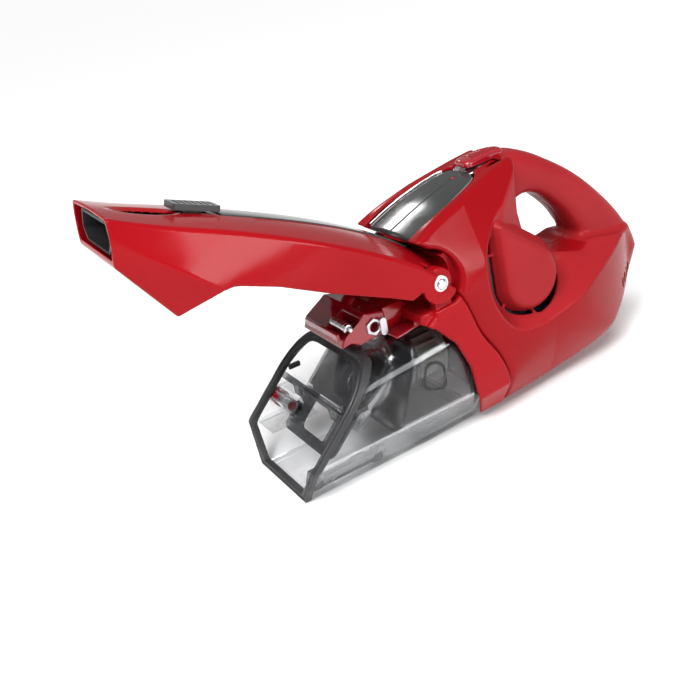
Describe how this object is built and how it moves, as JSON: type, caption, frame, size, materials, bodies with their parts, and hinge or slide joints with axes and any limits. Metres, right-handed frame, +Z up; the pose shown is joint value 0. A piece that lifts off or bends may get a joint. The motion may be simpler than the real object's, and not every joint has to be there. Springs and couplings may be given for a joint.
{
  "type": "handheld vacuum",
  "caption": "Cordless hand vacuum with a closed handle, clear dirt cup and a nozzle that flips up on side pins to empty it.",
  "frame": {"origin": "middle of the dirt cup's flat base, on the surface it stands on", "axes": "+X back towards the heel and handle, +Y to the right-hand side, +Z up"},
  "size_m": [0.3852, 0.1066, 0.2115],
  "materials": {
    "red_shell": "high gloss moulded",
    "dark_gloss": "dark grey gloss",
    "bright_trim": "bright trim",
    "silver_plate": "satin silver",
    "red_clear": "translucent red",
    "clear_cup": "clear moulded plastic",
    "smoke_clear": "smoky translucent",
    "cone_clear": "frosted silver",
    "seal_rubber": "soft matt",
    "dark_matte": "fine matt",
    "grey_plastic": "satin grey",
    "steel": "bright steel",
    "motor_steel": "plated can",
    "white_plastic": "natural nylon",
    "cell_wrap": "shrink wrap",
    "board": "solder mask",
    "filter_paper": "pleated paper",
    "lens": "clear lens"
  },
  "bodies": {
    "body": {"left_housing": "red_shell", "right_housing": "red_shell", "front_collar": "red_shell", "top_inlay": "dark_gloss", "inlay_trims": "bright_trim", "switch_bezel": "silver_plate", "vent_grilles": "dark_matte", "charge_jack": "dark_matte", "rubber_feet": "seal_rubber", "housing_screws": "steel", "motor_can": "motor_steel", "motor_mounts": "dark_matte", "fan_shroud": "white_plastic", "battery_cells": "cell_wrap", "battery_holder": "dark_matte", "circuit_board": "board", "switch_block": "dark_matte", "indicator_lens": "lens", "dirt_cup": "clear_cup", "cup_rim_gasket": "seal_rubber", "rim_clips": "seal_rubber", "cup_rear_seal": "seal_rubber", "filter_frame": "smoke_clear", "filter_cone": "cone_clear", "pleated_filter": "filter_paper", "air_guide": "smoke_clear", "latch_box": "clear_cup", "base_rail": "grey_plastic", "button_spring": "steel", "cup_stop": "dark_matte", "catch_block": "red_clear", "roller_pin": "steel", "catch_ring": "silver_plate", "catch_tab": "silver_plate", "hinge_pins": "steel"},
    "nozzle": {"nozzle_shell": "red_shell", "nozzle_top_strip": "dark_gloss", "nozzle_baffle": "smoke_clear", "flap_pin": "steel", "hinge_bushes": "white_plastic"},
    "tool": {"crevice_tool": "dark_matte", "slider_button": "dark_gloss"},
    "flap": {"inlet_flap": "seal_rubber"},
    "switch": {"power_switch": "red_clear"},
    "button": {"release_button": "red_clear"},
    "rotor": {"impeller": "white_plastic", "motor_shaft": "steel"},
    "roller": {"catch_roller": "steel"}
  },
  "joints": [
    {"name": "nozzle_hinge", "type": "hinge", "parent": "body", "child": "nozzle", "pos_m": [0.0631, 0, 0.1136], "axis": [0, 1, 0], "range_deg": [-56.9, 0]},
    {"name": "tool_slide", "type": "slide", "parent": "nozzle", "child": "tool", "axis": [-0.9373, 0, 0.3486], "range_m": [0, 0.03]},
    {"name": "flap_hinge", "type": "hinge", "parent": "nozzle", "child": "flap", "pos_m": [-0.03197, 0, 0.14856], "axis": [0, -1, 0], "range_deg": [0, 40], "stiffness_Nm_per_rad": 0.004, "springref_deg": -28.65},
    {"name": "switch_slide", "type": "slide", "parent": "body", "child": "switch", "axis": [1, 0, 0], "range_m": [0, 0.003]},
    {"name": "button_press", "type": "slide", "parent": "body", "child": "button", "axis": [0, -1, 0], "range_m": [0, 0.0025], "stiffness_N_per_m": 400, "springref_m": -0.002},
    {"name": "rotor_spin", "type": "hinge", "parent": "body", "child": "rotor", "pos_m": [0.1, 0, 0.084], "axis": [1, 0, 0], "continuous": true},
    {"name": "roller_spin", "type": "hinge", "parent": "body", "child": "roller", "pos_m": [0.009, -0.01775, 0.0962], "axis": [0, 1, 0], "continuous": true}
  ]
}
